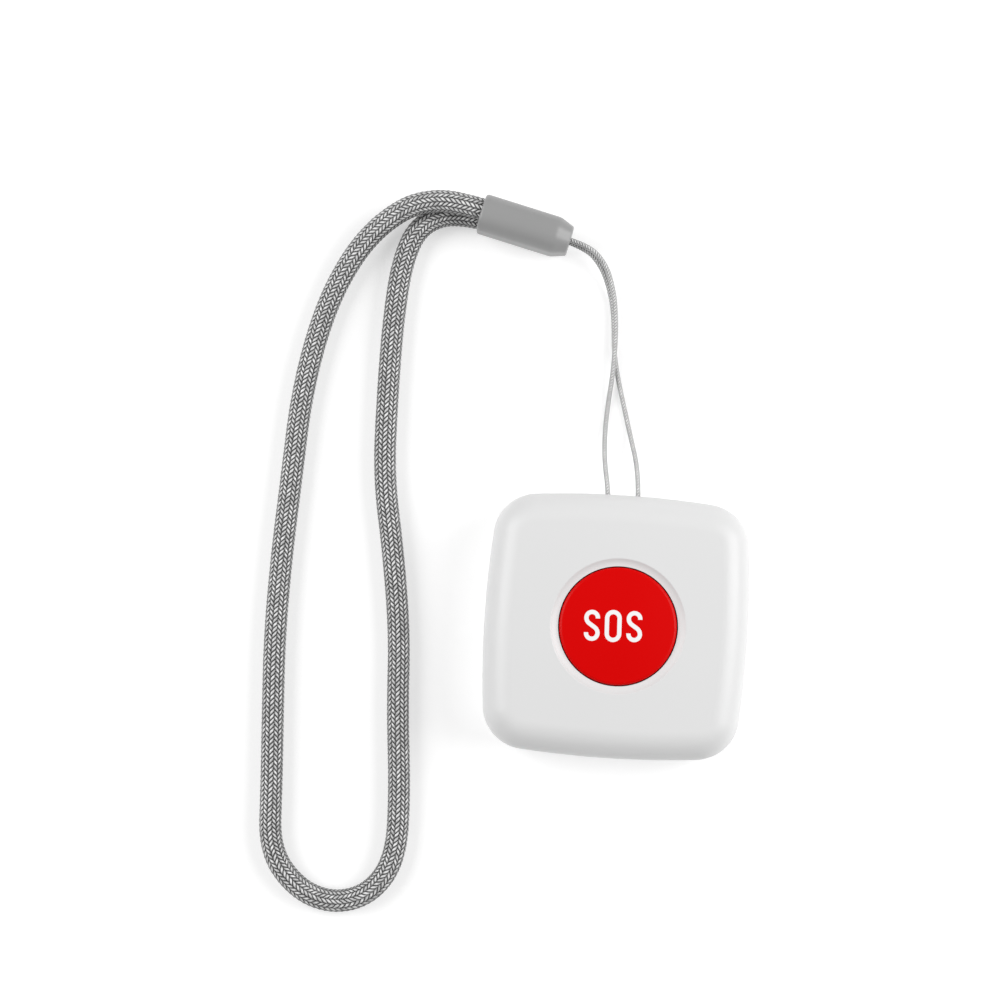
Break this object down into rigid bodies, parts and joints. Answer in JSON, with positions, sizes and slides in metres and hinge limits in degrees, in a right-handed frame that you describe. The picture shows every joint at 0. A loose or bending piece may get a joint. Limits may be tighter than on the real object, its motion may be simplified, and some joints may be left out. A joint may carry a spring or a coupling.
{
  "type": "wireless panic button",
  "caption": "Pillow-shaped pendant housing with a round press button, bayonet battery door and a braided wrist lanyard on a thread loop.",
  "frame": {"origin": "middle of the housing's flat back face, on the surface it rests on", "axes": "+Z out of the button face, +Y towards the lanyard mouth, +X to the right seen from above"},
  "size_m": [0.092, 0.1388, 0.0151],
  "materials": {
    "white_shell": "satin moulded",
    "red_cap": "smooth moulded with white print",
    "door_plastic": "fine matte texture",
    "seal_rubber": "smooth",
    "cell_can": "satin",
    "contact_metal": "plated spring sheet",
    "board_laminate": "solder mask",
    "switch_plastic": "matte",
    "lamp_epoxy": "clear lens",
    "chip_epoxy": "matte",
    "screw_steel": "zinc plated",
    "cuff_plastic": "satin moulded",
    "cord_braid": "braided polyester",
    "thread_braid": "braided polyester"
  },
  "bodies": {
    "housing": {"front_shell": "white_shell", "rear_shell": "white_shell", "coin_cell": "cell_can", "negative_contact": "contact_metal", "positive_contact": "contact_metal", "circuit_board": "board_laminate", "switch_base": "switch_plastic", "switch_dome": "contact_metal", "switch_cover": "contact_metal", "switch_terminals": "contact_metal", "radio_board": "board_laminate", "radio_shield": "contact_metal", "status_led": "lamp_epoxy", "smd_parts": "chip_epoxy", "housing_screws": "screw_steel", "board_screws": "screw_steel", "strap_cuff": "cuff_plastic", "thread_knot": "thread_braid", "strap_cord": "cord_braid", "thread_loop": "thread_braid"},
    "button": {"button_cap": "red_cap"},
    "plunger": {"switch_plunger": "switch_plastic"},
    "door": {"battery_door": "door_plastic", "door_seal": "seal_rubber"}
  },
  "joints": [
    {"name": "button_press", "type": "slide", "parent": "housing", "child": "button", "axis": [0, 0, -1], "range_m": [0, 0.0003], "stiffness_N_per_m": 5000},
    {"name": "plunger_press", "type": "slide", "parent": "housing", "child": "plunger", "axis": [0, 0, -1], "range_m": [0, 0.0003], "deforming": ["switch_dome"]},
    {"name": "door_turn", "type": "hinge", "parent": "housing", "child": "door", "pos_m": [0, 0, 0], "axis": [0, 0, -1], "range_deg": [0, 45]}
  ],
  "couplings": [
    {"joint": "plunger_press", "follows": "button_press", "ratio": 1}
  ]
}
